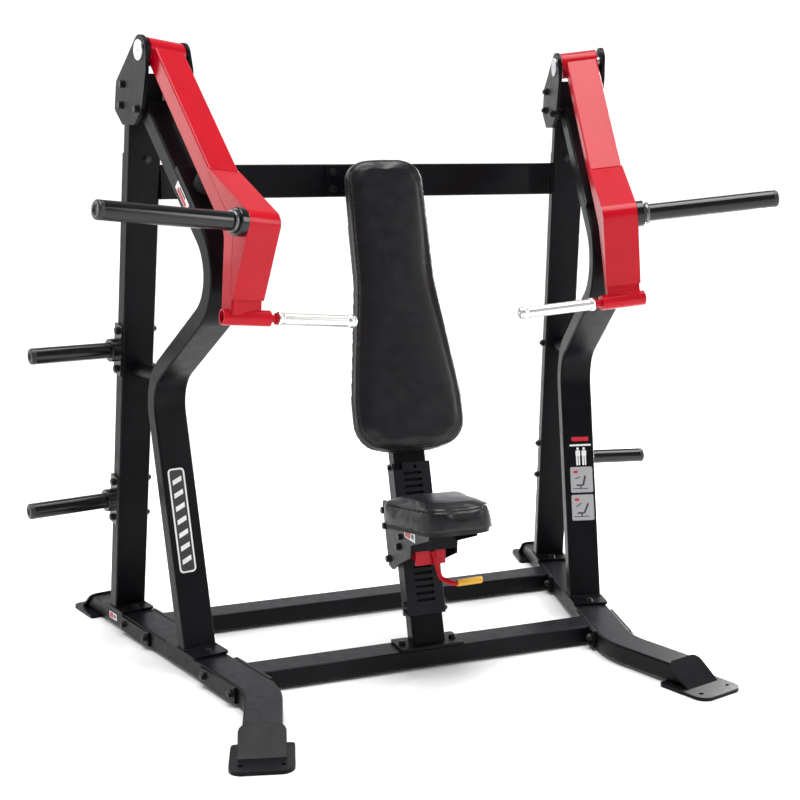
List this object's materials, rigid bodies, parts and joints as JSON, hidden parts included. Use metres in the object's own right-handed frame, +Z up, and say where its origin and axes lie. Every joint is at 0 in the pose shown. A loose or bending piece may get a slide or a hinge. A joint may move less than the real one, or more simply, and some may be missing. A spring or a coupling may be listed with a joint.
{
  "type": "plate-loaded chest press machine",
  "caption": "Seated chest press frame with swinging lever arms, inward handles, plate horns, storage pegs, tall back pad and a sliding seat on a slotted column.",
  "frame": {"origin": "on the floor, at the middle of the machine's outline", "axes": "+X towards the viewer's right when facing the seat (the sitter's left), -Y towards the front of the machine, +Z up"},
  "size_m": [2.1256, 1.582, 1.8002],
  "materials": {
    "black_paint": "satin powder coat",
    "track_paint": "satin powder coat, worn at the slots",
    "gloss_red_paint": "gloss",
    "knurled_chrome": "knurled",
    "bright_steel": "polished",
    "black_vinyl": "semi-gloss grain",
    "black_board": "painted",
    "black_rubber": "matte",
    "bearing_plastic": "matte",
    "black_plastic": "satin",
    "yellow_grip": "satin",
    "black_bolts": "black oxide"
  },
  "bodies": {
    "frame": {"arm_stops": "black_paint", "back_pad": "black_vinyl", "back_pad_board": "black_board", "back_pad_brackets": "black_paint", "base_rail_left": "black_paint", "base_rail_right": "black_paint", "beam_backing_plates": "black_paint", "column_bolts": "black_bolts", "cross_beam_front": "black_paint", "cross_beam_rear": "black_paint", "crossbar": "black_paint", "frame_bolts": "black_bolts", "front_foot_left": "black_paint", "front_foot_right": "black_paint", "front_upright_left": "black_paint", "front_upright_right": "black_paint", "head_post_left": "black_paint", "head_post_right": "black_paint", "peg_bolts": "black_bolts", "peg_end_caps": "black_plastic", "pivot_plate_bolts": "black_bolts", "pivot_plate_inner_left": "black_paint", "pivot_plate_inner_right": "black_paint", "pivot_plate_outer_left": "black_paint", "pivot_plate_outer_right": "black_paint", "pivot_shaft_caps": "bright_steel", "pivot_shafts": "bright_steel", "rear_foot_left": "black_paint", "rear_foot_right": "black_paint", "rear_upright_left": "black_paint", "rear_upright_right": "black_paint", "seat_column": "black_paint", "seat_track": "track_paint", "stop_bumpers": "black_rubber", "storage_peg_lower_left": "black_paint", "storage_peg_lower_right": "black_paint", "storage_peg_upper_left": "black_paint", "track_bolts": "black_bolts", "upright_spacers": "black_paint"},
    "left_arm": {"press_arm_left": "gloss_red_paint", "pivot_bearings_left": "bearing_plastic", "weight_horn_left": "black_paint", "horn_cap_left": "black_plastic", "hand_grip_left": "knurled_chrome"},
    "right_arm": {"press_arm_right": "gloss_red_paint", "pivot_bearings_right": "bearing_plastic", "weight_horn_right": "black_paint", "horn_cap_right": "black_plastic", "hand_grip_right": "knurled_chrome"},
    "seat": {"seat_carriage": "black_paint", "seat_board": "black_board", "seat_pad": "black_vinyl", "seat_glide_pads": "bearing_plastic", "roller_axles": "black_bolts", "lever_pin": "black_bolts"},
    "seat_lever": {"seat_lever": "gloss_red_paint", "lever_grip": "yellow_grip"},
    "roller_rear_upper": {"roller_rear_upper": "bearing_plastic"},
    "roller_rear_lower": {"roller_rear_lower": "bearing_plastic"},
    "roller_front": {"roller_front": "bearing_plastic"}
  },
  "joints": [
    {"name": "left_arm_swing", "type": "hinge", "parent": "frame", "child": "left_arm", "pos_m": [-0.65289, 0.07858, 1.752], "axis": [-0.929, -0.3566, 0.0993], "range_deg": [0, 50]},
    {"name": "right_arm_swing", "type": "hinge", "parent": "frame", "child": "right_arm", "pos_m": [0.65289, 0.07858, 1.752], "axis": [-0.929, 0.3566, -0.0993], "range_deg": [0, 50]},
    {"name": "seat_slide", "type": "slide", "parent": "frame", "child": "seat", "axis": [0, 0.2588, 0.9659], "range_m": [-0.0975, 0.078]},
    {"name": "seat_lever_lift", "type": "hinge", "parent": "seat", "child": "seat_lever", "pos_m": [0, -0.2019, 0.382], "axis": [-1, 0, 0], "range_deg": [0, 16], "stiffness_Nm_per_rad": 2, "springref_deg": -20.05},
    {"name": "roller_rear_upper_turn", "type": "hinge", "parent": "seat", "child": "roller_rear_upper", "pos_m": [0, -0.06598, 0.43146], "axis": [1, 0, 0], "range_deg": [-250, 200]},
    {"name": "roller_rear_lower_turn", "type": "hinge", "parent": "seat", "child": "roller_rear_lower", "pos_m": [0, -0.10325, 0.29237], "axis": [1, 0, 0], "range_deg": [-250, 200]},
    {"name": "roller_front_turn", "type": "hinge", "parent": "seat", "child": "roller_front", "pos_m": [0, -0.18628, 0.34878], "axis": [1, 0, 0], "range_deg": [-350, 435]}
  ],
  "couplings": [
    {"joint": "roller_rear_upper_turn", "follows": "seat_slide", "rad_per_m": 43.478},
    {"joint": "roller_rear_lower_turn", "follows": "seat_slide", "rad_per_m": 43.478},
    {"joint": "roller_front_turn", "follows": "seat_slide", "rad_per_m": -76.923}
  ]
}
